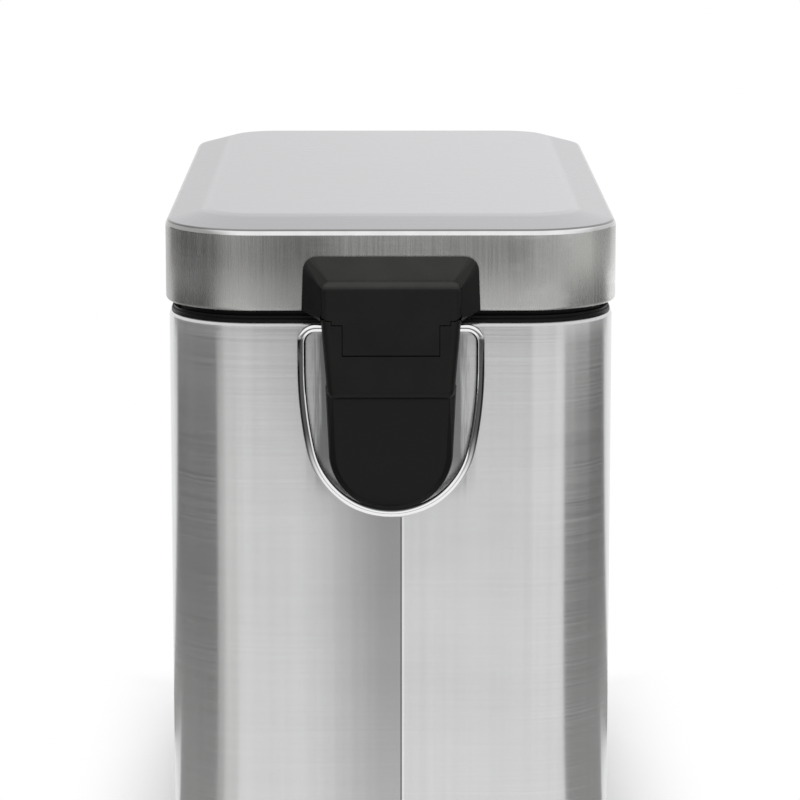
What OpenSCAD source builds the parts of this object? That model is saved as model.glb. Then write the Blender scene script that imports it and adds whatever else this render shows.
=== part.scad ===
// Push top countertop bin: slim brushed steel body, latched lid on a rear hinge,
// wire carry handle behind, lift-out inner bucket.
// +Z up, +Y towards the hinge at the back, +X to the right seen from the front.
// The origin is the middle of the bin's outline seen from above, on the surface it stands on.

/* [Body] */
// Width of the steel body
body_w = 190; // [170:1:240]
// Depth of the steel body, front to back
body_d = 360; // [300:1:420]
// Height of the steel body's top edge above the floor
body_h = 256; // [220:1:400]
// Plan radius of the body's corners
corner_r = 38.5; // [34:0.5:46]
// Thickness of the steel sheet
sheet_t = 0.6; // [0.5:0.1:0.8]
// Radius of the rolled top edge
roll_r = 1.8; // [1.5:0.1:2.4]
// Distance of the rear seam from the middle
seam_x = 4.3; // [0:0.1:12]

/* [Base] */
// Height of the base's visible rim above the floor
base_h = 14; // [11:1:22]
// Thickness of the base's walls and floor
base_t = 2.4; // [1.8:0.1:3.2]
// Height of a rubber foot below the base
foot_h = 3; // [2:0.5:5]
// Diameter of a rubber foot
foot_d = 18; // [12:1:24]

/* [Lid] */
// How far the lid stands out past the body on each side
lid_over = 1.4; // [1.2:0.1:2.2]
// Height of the lid's straight side
skirt_h = 34.7; // [32:0.1:42]
// Width of the sloping border of the lid's top
bevel_w = 20; // [14:1:24]
// Rise of that border from the rim to the flat panel
bevel_rise = 4.5; // [3:0.1:7]
// Radius of the lid's upper edge
rim_r = 2.5; // [1.8:0.1:3.2]
// Gap between the body's top edge and the lid's lower edge
lid_gap = 4.8; // [4.6:0.1:7]
// Wall of the lid's plastic liner
liner_t = 1.4; // [1.2:0.1:1.8]
// Depth of the liner's ceiling inside the lid
liner_h = 28; // [27:0.5:30]

/* [Hinge] */
// How far the hinge cover stands out behind the body
hinge_depth = 13.3; // [13:0.1:15]
// Width of the lid bracket's foot on the lid
bracket_w = 75; // [72:0.5:84]
// Drop of the bracket's upper edge below the lid's rim
bracket_drop = 11.2; // [9:0.1:13]
// Width of the raised block
block_w = 58.6; // [56:0.2:62]
// Drop of the block's upper edge below the lid's rim
block_drop = 20.5; // [18:0.1:22]
// Width of the tongue that turns between the ears
tongue_w = 40.4; // [38:0.2:42]
// Depth of the hinge pin below the body's top edge
pin_drop = 5.65; // [5.3:0.05:6]
// Diameter of the hinge pin
pin_d = 4; // [3:0.2:4.4]
// Radius of rounded edges on the hinge covers
soft_r = 4; // [2.5:0.5:5]
// Length of the thick upper part of the housing below the body's top edge
thick_drop = 31; // [26:0.5:32]
// Length of the whole housing below the body's top edge
housing_drop = 80.8; // [76:0.2:81.2]

/* [Carry handle] */
// Diameter of the carry handle's wire
wire_d = 3.6; // [3:0.1:4]
// Width over the carry handle
handle_w = 78.6; // [76:0.2:90]
// Drop from the handle's pivot to the middle of its lowest wire
handle_drop = 79.2; // [78.5:0.1:90]
// Inward lean of the handle's legs, in degrees
leg_lean = 5; // [2:0.5:7]
// Depth of the handle's pivot below the body's top edge
pivot_drop = 1.3; // [1.2:0.1:1.6]

/* [Bucket] */
// Wall of the inner bucket
bucket_t = 1.8; // [1.4:0.1:2.2]
// Taper of the bucket from top to bottom on each side
bucket_draft = 4; // [2:0.5:7]
// Diameter of the bucket handle's wire
bail_d = 3; // [2.4:0.1:3.2]
// Length of the bucket handle from its pivots
bail_l = 77; // [65:1:90]
// Diameter of the grip on the bucket handle
grip_d = 10; // [8:0.5:12]
// Length of the grip
grip_l = 70; // [40:1:90]

/* [Latch] */
// Width of the latch lever's arm
lever_w = 6; // [5:0.5:7]
// Thickness of the latch lever
lever_t = 1.6; // [1.4:0.1:1.7]
// Diameter of the lever's pin
lever_pin_d = 1.8; // [1.4:0.1:2]
// Width of the striker on the lid
striker_w = 14; // [10:0.5:15]

/* [Hidden] */
$fn = 64;

// Clearances: round a turning piece, of a screw in its hole, of a seat, between moving pieces
run_gap = 0.06;
snug = 0.1;
seat_gap = 0.2;
part_gap = 0.35;
// Small chamfer, thickness of a hull's thin ends, and how far a cut runs past a face
soft = 0.4;
thin = 0.1;
past = 1;

steel = [0.79, 0.79, 0.80];
black = [0.13, 0.13, 0.13];
rubber = [0.08, 0.08, 0.08];
chrome = [0.88, 0.88, 0.90];

// Levels and planes that several pieces share
z_top = body_h;
z_lid = z_top + lid_gap;
z_rim = z_lid + skirt_h;
z_pin = z_top - pin_drop;
y_wall = body_d / 2;
y_skirt = y_wall + lid_over;
y_face = y_wall + hinge_depth;

y_shift = (y_face - y_skirt) / 2;

lid_w = body_w + 2 * lid_over;
lid_d = body_d + 2 * lid_over;
lid_r = corner_r + lid_over;
lid_lip = 2.6;
liner_air = 0.3;

// The lid's sloping border is the common tangent of the rim's and the panel's round edges
panel_soft = 8;
panel_lap = 3;
panel_in = bevel_w + panel_lap - 1;
bevel_step = [bevel_w - rim_r, panel_soft - rim_r - bevel_rise];
bevel_normal = atan2(bevel_step[1], bevel_step[0]) + acos((panel_soft - rim_r) / norm(bevel_step));

// Liner: shoulder under the lid's border, ribs above the ceiling, bosses for bumpers and striker
shoulder_in = 6;
shoulder_soft = 1.8;
ceiling_in = 5;
rib_in = 12;
rib_t = 1.6;
rib_h = 3;
rib_pitch = 90;
bumper_x = 48;
bumper_air = 3.1;
bumper_pad = 2.1;
bumper_r = 2.4;
bumper_stem_r = 1;
bumper_stem = 3.7;
boss_r = 3;
boss_h = 3.4;

// How far the body's top flange reaches in, and the base's upstand inside the body
flange_in = 4.5;
seam_w = 0.8;
base_up = 12;
foot_seat = 1;
foot_in = 6;

// Collar section, measured inwards from the body's outer face and up from its top edge
collar_lip = 0.9;
collar_step = 1.9;
collar_lip_h = 1.5;
collar_flange_h = 2.6;
collar_out = 5;
collar_t = 1.4;
collar_up = 7.5;
collar_skirt = 14;
ledge_drop = 4;
ledge_t = 1.4;
ledge_in = 11.4;

// Bucket section, measured the same way
bucket_rim = 8.6;
bucket_wall = 12.2;
bucket_rim_t = 2;
bucket_w = body_w - 2 * bucket_wall;
bucket_d = body_d - 2 * bucket_wall;
bucket_r = corner_r - bucket_wall;
z_bucket_seat = z_top - ledge_drop + seat_gap;
z_bucket_rim = z_bucket_seat + bucket_rim_t;
z_bucket_floor = foot_h + base_t + 1.5;
bail_gap = 0.3;
z_bail = z_bucket_rim + bail_d / 2 + bail_gap;
lug_t = bucket_t + 0.3;
lug_r = bail_d / 2 + 3;
bail_x = bucket_w / 2 + seat_gap + part_gap + bail_d / 2;
bail_in = 4;
bail_bend = 22;

// Hinge: the pin lies in the middle of the tongue's height
tongue_half = 6.15;
ear_half = 6.15;
ear_step = 1.8;
pin_inset = 5.9;
y_pin = y_face - pin_inset;
swing_r = norm([pin_inset, tongue_half]) + part_gap;
step_r = norm([pin_inset, ear_half + ear_step]) + part_gap;
step_x = block_w / 2 - 4.3;
step_gap = 0.25;
knuckle_r = pin_d / 2 + 3.5;
spring_room = 10;
tongue_wall = 1.8;
ear_in = tongue_w / 2 + 0.3;
pin_half = step_x - 0.6;
housing_base = 1.4;

// Torsion spring round the hinge pin
spring_wire = 1;
coil_r = pin_d / 2 + spring_wire / 2 + 0.8;
coil_half = 6;
coil_angle = 5.5 * 360;
leg_h = 7;
leg_out = 0.3;

// Bracket: its corners below are cut slanting, its sides draw in a little to the rounded top
corner_cut = [7.5, 4.4];
waist_rise = 0.8;
bracket_in = 0.6;
bracket_round = 6;
bracket_rest = 7;
bracket_base = 1.2;
step_bevel = 3;

// Housing: thick part above, dished part below, round end
thick_w = block_w - 5;
dish_w = block_w - 3.4;
dish_top = hinge_depth - 4;
dish_end = 3.8;
dish_lap = 4;
end_r = 26.4;
z_end = z_top - housing_drop + end_r;

// Carry handle
wire_r = wire_d / 2;
handle_off = 6.5;
y_handle = y_wall + handle_off;
z_handle = z_top - pivot_drop;
bend_r = 6;
bend_x = handle_w / 2 - wire_r - bend_r;
loop_r = (bend_x * cos(leg_lean) + bend_r * sin(leg_lean) + bend_r - handle_drop * sin(leg_lean))
    / (1 - sin(leg_lean));
handle_in = step_x + 0.5;

// Screws
screw_r = 1.5;
screw_head_r = 3;
screw_head_h = 1.8;
plate_t = 1.2;
plate_edge = 7;
housing_screw_x = 13;
housing_screw_drop = [22, 52];
housing_screw_z = [for (drop = housing_screw_drop) z_top - drop];
housing_screw_in = 4.6;
bracket_screw_x = 20;
bracket_screw_drop = [24.5, 31];
bracket_screw_z = [for (drop = bracket_screw_drop) z_rim - drop];
bracket_screw_in = 6;

// Latch, measured inwards from the body's outer front face
y_front = -y_wall;
y_lever = y_front + 5.9;
z_lever = z_top - 4;
hub_r = lever_pin_d / 2 + 0.7;
nose_z = z_top + 5.4;
nose_h = 2;
nose_reach = 1.6;
lever_tail = 9;
latch_wire = 0.4;
latch_coil_r = lever_pin_d / 2 + latch_wire / 2 + 0.3;
latch_coil_x = [3.6, 5.7];
latch_coil_angle = 630;
case_half = 11.6;
case_room = 6.4;
case_front = y_front + sheet_t + snug;
case_back = y_front + 7.8;
case_top = z_top - roll_r - snug;
case_h = 16;
case_screw_x = 9.5;
case_screw_y = y_front + 3.4;
case_boss_r = 1.5;
latch_pin_half = case_room + 1.1;
case_grip = 2.4;
case_wall = 1.2;
case_screw_r = 1.1;
case_head_r = 1.7;
case_head_h = 1.2;
slot_room = 1;
striker_t = 1;
striker_y = y_front + 2.2;
striker_low = z_top + 3.4;
lip_h = 1.6;
striker_flange = 13.8;
striker_screw_x = 4;
striker_screw_r = 1.3;
striker_screw_in = 4;
striker_screw_y = striker_y + 9;
z_ceiling = z_lid + liner_h;

function arc(c, r, a0, a1, n = 5) =
    [for (i = [0:n]) c + r * [cos(a0 + (a1 - a0) * i / n), sin(a0 + (a1 - a0) * i / n)]];
function reversed(list) = [for (i = [len(list) - 1:-1:0]) list[i]];
function unit(v) = v / norm(v);

// Rounded rectangle, its middle at the origin
module rounded_rect(w, d, r) {
    square([w - 2 * r, d], center = true);
    square([w, d - 2 * r], center = true);
    for (x = [-1, 1], y = [-1, 1])
        translate([x * (w / 2 - r), y * (d / 2 - r)])
            circle(r);
}

// Carries an outline round a rounded rectangle. The outline's x is the distance from the
// centre of a corner, so x = r lies on the rectangle's edge.
module swept(w, d, r) {
    for (x = [-1, 1], y = [-1, 1])
        translate([x * (w / 2 - r), y * (d / 2 - r), 0])
            rotate([0, 0, x > 0 ? (y > 0 ? 0 : 270) : (y > 0 ? 90 : 180)])
                rotate_extrude(angle = 90)
                    children();
    for (turn = [0, 180])
        rotate([0, 0, turn]) {
            translate([w / 2 - r, d / 2 - r, 0])
                rotate([90, 0, 0])
                    linear_extrude(d - 2 * r)
                        children();
            rotate([0, 0, 90])
                translate([d / 2 - r, w / 2 - r, 0])
                    rotate([90, 0, 0])
                        linear_extrude(w - 2 * r)
                            children();
        }
}

// Moves a piece from the body's middle to the middle of the whole bin, hinge cover included
module centred() {
    translate([0, -y_shift, 0])
        children();
}

// Box given by two opposite corners
module span_box(low, high) {
    translate(low)
        cube(high - low);
}

// Plate in the XZ plane: the outline's y becomes height, its thickness runs from y0 back to y1
module upright(y0, y1) {
    translate([0, y1, 0])
        rotate([90, 0, 0])
            linear_extrude(y1 - y0)
                children();
}

// Round bar along X between two x values
module bar_x(x0, x1, r) {
    translate([x0, 0, 0])
        rotate([0, 90, 0])
            cylinder(h = x1 - x0, r = r);
}

// Round bar in the XY plane between two points
module rod(p, q, r) {
    translate([p[0], p[1], 0])
        rotate([0, 0, atan2(q[1] - p[1], q[0] - p[0])])
            rotate([0, 90, 0])
                cylinder(h = norm(q - p), r = r);
}

// Part of a ring of round wire in the XY plane, from angle a0 over a span
module wire_arc(c, ring_r, r, a0, span) {
    translate([c[0], c[1], 0])
        rotate([0, 0, a0])
            rotate_extrude(angle = span)
                translate([ring_r, 0])
                    circle(r);
}

// One unbroken tube along points that never run parallel to X
module tube(points, r, sides) {
    last = len(points) - 1;
    rings = [
        for (i = [0:last])
            let (
                along = unit(points[min(i + 1, last)] - points[max(i - 1, 0)]),
                a = unit(cross(along, [1, 0, 0])),
                b = cross(along, a)
            )
            for (k = [0:sides - 1])
                points[i] + r * (cos(360 * k / sides) * a + sin(360 * k / sides) * b)
    ];
    walls = [
        for (i = [0:last - 1], k = [0:sides - 1])
            let (
                p = i * sides + k,
                q = i * sides + (k + 1) % sides
            )
            each [[p, q, q + sides], [p, q + sides, p + sides]]
    ];
    caps = [
        for (k = [1:sides - 2])
            each [[0, k + 1, k], [last * sides, last * sides + k, last * sides + k + 1]]
    ];
    polyhedron(rings, concat(walls, caps));
}

// Pan head screw along +Z, its head below z = 0
module screw(length, r, head_r, head_h) {
    cylinder(h = length, r = r);
    translate([0, 0, -head_h])
        cylinder(h = head_h, r = head_r);
}

function body_line(o) = concat(
    [[corner_r - o, base_h]],
    arc([corner_r - roll_r, z_top - roll_r], roll_r - o, 0, 90),
    [[corner_r - flange_in, z_top - o]]
);

module body_shell() {
    color(steel) centred()
        difference() {
            swept(body_w, body_d, corner_r)
                polygon(concat(body_line(0), reversed(body_line(sheet_t))));
            // seam of the wrapped sheet
            span_box(
                [-seam_x - seam_w / 2, y_wall - sheet_t / 2, base_h - past],
                [-seam_x + seam_w / 2, y_wall + past, z_top - roll_r]
            );
            for (x = [-1, 1], z = housing_screw_z)
                translate([x * housing_screw_x, y_wall - sheet_t - past, z])
                    rotate([-90, 0, 0])
                        cylinder(h = sheet_t + 2 * past, r = screw_r + snug);
            // holes in the rolled edge's flange for the latch case's screws
            for (x = [-1, 1])
                translate([x * case_screw_x, case_screw_y, z_top - sheet_t - past])
                    cylinder(h = sheet_t + 2 * past, r = case_screw_r + snug);
        }
}

module base_tray() {
    lip_out = corner_r - sheet_t - snug;
    floor_in = sheet_t + 1;
    edge = 1;
    color(black) centred()
        difference() {
            union() {
                swept(body_w, body_d, corner_r)
                    polygon([
                        [lip_out - base_t, foot_h],
                        [corner_r - edge, foot_h],
                        [corner_r, foot_h + edge],
                        [corner_r, base_h],
                        [lip_out, base_h],
                        [lip_out, base_h + base_up],
                        [lip_out - base_t, base_h + base_up]
                    ]);
                translate([0, 0, foot_h])
                    linear_extrude(base_t)
                        rounded_rect(body_w - 2 * floor_in, body_d - 2 * floor_in, corner_r - floor_in);
            }
            foot_places()
                translate([0, 0, foot_h - past])
                    cylinder(h = past + foot_seat, r = foot_d / 2 + snug);
        }
}

module foot_places() {
    for (x = [-1, 1], y = [-1, 1])
        translate([x * (body_w / 2 - corner_r + foot_in), y * (body_d / 2 - corner_r + foot_in), 0])
            children();
}

module base_feet() {
    edge = 1;
    color(rubber) centred()
        foot_places() {
            cylinder(h = edge, r1 = foot_d / 2 - edge, r2 = foot_d / 2);
            translate([0, 0, edge])
                cylinder(h = foot_h + foot_seat - edge, r = foot_d / 2);
        }
}

module top_collar() {
    out = corner_r - collar_out;
    hang = corner_r - flange_in - seat_gap;
    color(black) centred()
        difference() {
            swept(body_w, body_d, corner_r)
                polygon([
                    [hang, z_top],
                    [corner_r - collar_lip, z_top],
                    [corner_r - collar_lip, z_top + collar_lip_h - soft],
                    [corner_r - collar_lip - soft, z_top + collar_lip_h],
                    [corner_r - collar_step, z_top + collar_lip_h],
                    [corner_r - collar_step, z_top + collar_flange_h],
                    [out, z_top + collar_flange_h],
                    [out, z_top + collar_up],
                    [out - collar_t, z_top + collar_up],
                    [out - collar_t, z_top - collar_skirt],
                    [hang, z_top - collar_skirt]
                ]);
            // room for the latch case under the flange
            span_box(
                [-case_half - snug, y_front, z_top - collar_skirt - past],
                [case_half + snug, case_back + seat_gap, z_top]
            );
            // slot for the lever and the striker, and the gap in the upstand
            span_box(
                [-striker_w / 2 - slot_room, striker_y - part_gap, z_top - past],
                [striker_w / 2 + slot_room, case_back + seat_gap, z_top + collar_up + past]
            );
            span_box(
                [-case_half, y_front + collar_out - seat_gap, z_top + collar_flange_h],
                [case_half, case_back + seat_gap, z_top + collar_up + past]
            );
            for (x = [-1, 1])
                translate([x * case_screw_x, case_screw_y, z_top - past])
                    cylinder(h = collar_flange_h + 2 * past, r = case_screw_r + snug);
        }
}

// Flat ring inside the collar, on which the bucket's rim rests
module bucket_ring() {
    color(black) centred()
        difference() {
            swept(body_w, body_d, corner_r)
                translate([corner_r - ledge_in, z_top - ledge_drop - ledge_t])
                    square([ledge_in - collar_out - collar_t, ledge_t]);
            span_box(
                [-case_half - snug, y_front, z_top - collar_skirt],
                [case_half + snug, case_back + seat_gap, z_top]
            );
        }
}

function housing_end(inset) = concat(
    [[dish_w / 2 - inset, z_top - thick_drop + dish_lap]],
    arc([0, z_end], end_r - inset, -8, -172, 24),
    [[-dish_w / 2 + inset, z_top - thick_drop + dish_lap]]
);

// Slice of the dished part, tilted about the height where the thick part ends
module dish_slice(inset, share) {
    fall = dish_top - dish_end;
    run = housing_drop - thick_drop;
    low = z_top - thick_drop;
    multmatrix([
        [1, 0, 0, 0],
        [0, 1, share * fall / run, y_wall + share * dish_top - low * share * fall / run],
        [0, 0, 1, 0],
        [0, 0, 0, 1]
    ])
        upright(0, thin)
            polygon(housing_end(inset));
}

module housing_form() {
    top = z_pin + ear_half + ear_step;
    hull() {
        for (x = [-1, 1]) {
            translate([x * (block_w / 2 - soft_r), y_face - soft_r, top - thin])
                cylinder(h = thin, r = soft_r, $fn = 32);
            translate([x * (thick_w / 2 - soft_r), y_face - soft_r, z_top - thick_drop + soft_r])
                sphere(soft_r, $fn = 32);
        }
        span_box([-block_w / 2, y_wall, top - thin], [block_w / 2, y_wall + thin, top]);
        span_box(
            [-thick_w / 2, y_wall, z_top - thick_drop],
            [thick_w / 2, y_wall + thin, z_top - thick_drop + 1]
        );
    }
    hull() {
        dish_slice(0, 0);
        dish_slice(0.6, 0.6);
        dish_slice(3, 1);
    }
}

module hinge_housing() {
    color(black) centred()
        difference() {
            housing_form();
            // parting step of the ears
            span_box(
                [-step_x, y_wall - past, z_pin + ear_half],
                [step_x, y_face + past, z_top + 2 * soft_r]
            );
            // pocket where the tongue turns
            intersection() {
                translate([0, y_pin, z_pin])
                    bar_x(-ear_in, ear_in, swing_r);
                span_box(
                    [-ear_in - past, y_wall + housing_base, z_pin - 2 * swing_r],
                    [ear_in + past, y_face + past, z_pin + 2 * swing_r]
                );
            }
            span_box([-ear_in, y_wall + housing_base, z_pin], [ear_in, y_face + past, z_top + swing_r]);
            translate([0, y_pin, z_pin])
                bar_x(-pin_half - run_gap, pin_half + run_gap, pin_d / 2 + run_gap);
            for (x = [-1, 1])
                translate([x * (block_w / 2 + handle_in) / 2, y_handle, z_handle])
                    bar_x(
                        -(block_w / 2 - handle_in) / 2 - seat_gap,
                        (block_w / 2 - handle_in) / 2 + past,
                        wire_r + run_gap
                    );
            for (x = [-1, 1], z = housing_screw_z)
                translate([x * housing_screw_x, y_wall - past, z])
                    rotate([-90, 0, 0])
                        cylinder(h = housing_screw_in + past + part_gap, r = screw_r + run_gap);
        }
}

module backing_plate() {
    back = y_wall - sheet_t;
    low = housing_screw_z[1] - plate_edge;
    high = housing_screw_z[0] + plate_edge;
    half = housing_screw_x + plate_edge;
    color(steel) centred()
        difference() {
            span_box([-half, back - plate_t, low], [half, back, high]);
            for (x = [-1, 1], z = housing_screw_z)
                translate([x * housing_screw_x, back - plate_t - past, z])
                    rotate([-90, 0, 0])
                        cylinder(h = plate_t + 2 * past, r = screw_r + snug);
        }
}

module housing_screws() {
    color(chrome) centred()
        for (x = [-1, 1], z = housing_screw_z)
            translate([x * housing_screw_x, y_wall - sheet_t - plate_t, z])
                rotate([-90, 0, 0])
                    screw(sheet_t + plate_t + housing_screw_in, screw_r, screw_head_r, screw_head_h);
}

module hinge_pin() {
    color(chrome) centred()
        translate([0, y_pin, z_pin])
            bar_x(-pin_half, pin_half, pin_d / 2);
}

// Both legs stand up: one behind the tongue's outer wall, one against the housing's base
function coil_point(a) = [
    -coil_half + 2 * coil_half * a / coil_angle,
    coil_r * cos(a),
    -coil_r * sin(a)
];
spring_points = concat(
    [[-coil_half - leg_out, coil_r, leg_h], [-coil_half - leg_out, coil_r, leg_h / 2]],
    [for (a = [0:30:coil_angle]) coil_point(a)],
    [[coil_half + leg_out, -coil_r, leg_h / 2], [coil_half + leg_out, -coil_r, leg_h]]
);

module lid_spring() {
    color(chrome) centred()
        translate([0, y_pin, z_pin])
            tube(spring_points, spring_wire / 2, 6);
}

module latch_case() {
    color(black) centred()
        difference() {
            union() {
                span_box([-case_half, case_front, case_top - case_h], [case_half, case_back, case_top]);
                for (x = [-1, 1])
                    translate([x * case_screw_x, case_screw_y, case_top - thin])
                        cylinder(h = z_top - sheet_t - case_top + thin, r = case_boss_r);
            }
            span_box(
                [-case_room, case_front + case_wall, case_top - case_h + case_wall],
                [case_room, case_back + past, case_top + past]
            );
            translate([0, y_lever, z_lever])
                bar_x(-latch_pin_half - snug, latch_pin_half + snug, lever_pin_d / 2 + run_gap);
            for (x = [-1, 1])
                translate([x * case_screw_x, case_screw_y, case_top - case_grip - seat_gap])
                    cylinder(h = z_top - case_top + case_grip + past, r = case_screw_r + run_gap);
        }
}

module latch_case_screws() {
    color(chrome) centred()
        for (x = [-1, 1])
            translate([x * case_screw_x, case_screw_y, z_top + collar_flange_h])
                rotate([180, 0, 0])
                    screw(z_top + collar_flange_h - case_top + case_grip, case_screw_r, case_head_r, case_head_h);
}

module latch_pin() {
    color(chrome) centred()
        translate([0, y_lever, z_lever])
            bar_x(-latch_pin_half, latch_pin_half, lever_pin_d / 2);
}

// Small torsion spring beside the lever's hub, its legs towards the case's wall and on the tail
latch_points = concat(
    [
        [latch_coil_x[0], -latch_coil_r - 2, -latch_coil_r],
        [latch_coil_x[0], -latch_coil_r, -latch_coil_r]
    ],
    [
        for (a = [0:30:latch_coil_angle])
            [
                latch_coil_x[0] + (latch_coil_x[1] - latch_coil_x[0]) * a / latch_coil_angle,
                latch_coil_r * sin(a),
                -latch_coil_r * cos(a)
            ]
    ],
    [[latch_coil_x[1], -latch_coil_r, -3], [latch_coil_x[1], -latch_coil_r, -lever_tail / 2 - 1]]
);

module latch_spring() {
    color(chrome) centred()
        translate([0, y_lever, z_lever])
            tube(latch_points, latch_wire / 2, 6);
}

module latch_hook() {
    nose_top = nose_z - z_lever + nose_h;
    color(black) centred()
        translate([0, y_lever, z_lever])
            difference() {
                union() {
                    span_box([-lever_w / 2, -lever_t / 2, -lever_tail], [lever_w / 2, lever_t / 2, nose_top]);
                    span_box(
                        [-lever_w / 2, -lever_t / 2 - nose_reach, nose_top - nose_h],
                        [lever_w / 2, lever_t / 2, nose_top]
                    );
                    span_box(
                        [-case_room + part_gap, -lever_t / 2, -lever_tail],
                        [case_room - part_gap, lever_t / 2, -lever_tail / 2]
                    );
                    bar_x(-lever_w / 2, lever_w / 2, hub_r);
                }
                bar_x(-lever_w, lever_w, lever_pin_d / 2 + run_gap);
            }
}

function lid_line(o) = concat(
    [[lid_r - lid_lip, z_lid + o]],
    arc([lid_r - roll_r, z_lid + roll_r], roll_r - o, -90, 0),
    arc([lid_r - rim_r, z_rim - rim_r], rim_r - o, 0, bevel_normal),
    arc([lid_r - bevel_w, z_rim + bevel_rise - panel_soft], panel_soft - o, bevel_normal, 90),
    [[lid_r - bevel_w - panel_lap, z_rim + bevel_rise - o]]
);

module lid_shell() {
    color(steel) centred()
        difference() {
            union() {
                swept(lid_w, lid_d, lid_r)
                    polygon(concat(lid_line(0), reversed(lid_line(sheet_t))));
                translate([0, 0, z_rim + bevel_rise - sheet_t])
                    linear_extrude(sheet_t)
                        rounded_rect(
                            lid_w - 2 * panel_in,
                            lid_d - 2 * panel_in,
                            lid_r - panel_in
                        );
            }
            for (x = [-1, 1], z = bracket_screw_z)
                translate([x * bracket_screw_x, y_skirt - sheet_t - past, z])
                    rotate([-90, 0, 0])
                        cylinder(h = sheet_t + 2 * past, r = screw_r + snug);
        }
}

module bumper_places() {
    for (x = [-1, 1])
        translate([x * bumper_x, y_front + collar_out + collar_t / 2, 0])
            children();
}

module lid_liner() {
    out = lid_r - sheet_t - liner_air;
    low = z_lid + sheet_t + snug;
    edge = 0.7;
    z_boss = z_top + collar_up + bumper_air + bumper_pad;
    color(black) centred()
        difference() {
            union() {
                swept(lid_w, lid_d, lid_r)
                    polygon([
                        [out - liner_t, low],
                        [out - edge, low],
                        [out, low + edge],
                        [out, z_ceiling],
                        [out - shoulder_soft, z_ceiling + liner_t],
                        [out - shoulder_in, z_ceiling + liner_t],
                        [out - shoulder_in, z_ceiling],
                        [out - liner_t, z_ceiling]
                    ]);
                translate([0, 0, z_ceiling])
                    linear_extrude(liner_t)
                        rounded_rect(lid_w - 2 * ceiling_in, lid_d - 2 * ceiling_in, lid_r - ceiling_in);
                // stiffening ribs above the ceiling
                for (y = [-1:1])
                    span_box(
                        [-lid_w / 2 + rib_in, y * rib_pitch - rib_t / 2, z_ceiling + thin],
                        [lid_w / 2 - rib_in, y * rib_pitch + rib_t / 2, z_ceiling + liner_t + rib_h]
                    );
                bumper_places()
                    translate([0, 0, z_boss])
                        cylinder(h = z_ceiling - z_boss + thin, r = bumper_r);
                for (x = [-1, 1])
                    translate([x * striker_screw_x, striker_screw_y, z_ceiling + thin])
                        cylinder(h = liner_t + boss_h, r = boss_r);
            }
            for (x = [-1, 1])
                translate([x * striker_screw_x, striker_screw_y, z_ceiling - past])
                    cylinder(h = past + striker_screw_in + seat_gap, r = striker_screw_r + run_gap);
            bumper_places()
                translate([0, 0, z_boss - past])
                    cylinder(h = past + bumper_stem + seat_gap, r = bumper_stem_r + run_gap);
            for (x = [-1, 1], z = bracket_screw_z)
                translate([x * bracket_screw_x, y_skirt - sheet_t - liner_air - liner_t - past, z])
                    rotate([-90, 0, 0])
                        cylinder(h = liner_t + liner_air + 2 * past, r = screw_r + snug);
        }
}

module lid_bumpers() {
    color(rubber) centred()
        bumper_places()
            translate([0, 0, z_top + collar_up + bumper_air]) {
                cylinder(h = bumper_pad, r = bumper_r);
                cylinder(h = bumper_pad + bumper_stem, r = bumper_stem_r);
            }
}

// Upper half of the bracket's outline on one side, then the same mirrored
function bracket_side() = concat(
    [
        [bracket_w / 2 - corner_cut[0], z_lid + waist_rise - corner_cut[1]],
        [bracket_w / 2, z_lid + waist_rise]
    ],
    arc(
        [bracket_w / 2 - bracket_in - bracket_round, z_rim - bracket_drop - bracket_round],
        bracket_round,
        0,
        90
    )
);
function bracket_outline() = concat(
    bracket_side(),
    [for (p = reversed(bracket_side())) [-p[0], p[1]]]
);

module bracket_form() {
    block_top = z_rim - block_drop;
    low = z_pin + sqrt(swing_r * swing_r - pin_inset * pin_inset);
    mid = y_skirt + bracket_rest;
    // foot on the lid, sloping up to the block
    hull() {
        upright(y_skirt, y_skirt + bracket_base)
            polygon(bracket_outline());
        span_box([-block_w / 2, mid, low + 2], [block_w / 2, mid + thin, block_top - step_bevel]);
        span_box(
            [-block_w / 2 + step_bevel, mid, low + 2],
            [block_w / 2 - step_bevel, mid + thin, block_top]
        );
    }
    hull() {
        for (x = [-1, 1]) {
            translate([x * (block_w / 2 - soft_r), y_face - soft_r, block_top - soft_r])
                sphere(soft_r, $fn = 32);
            translate([x * (block_w / 2 - soft_r), y_face - soft_r, low])
                cylinder(h = 1, r = soft_r, $fn = 32);
            translate([x * (block_w / 2 - soft_r), y_skirt, block_top - soft_r])
                rotate([-90, 0, 0])
                    cylinder(h = 1, r = soft_r, $fn = 32);
        }
        span_box([-block_w / 2, y_skirt, low], [block_w / 2, y_skirt + 1, low + 1]);
    }
}

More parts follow.
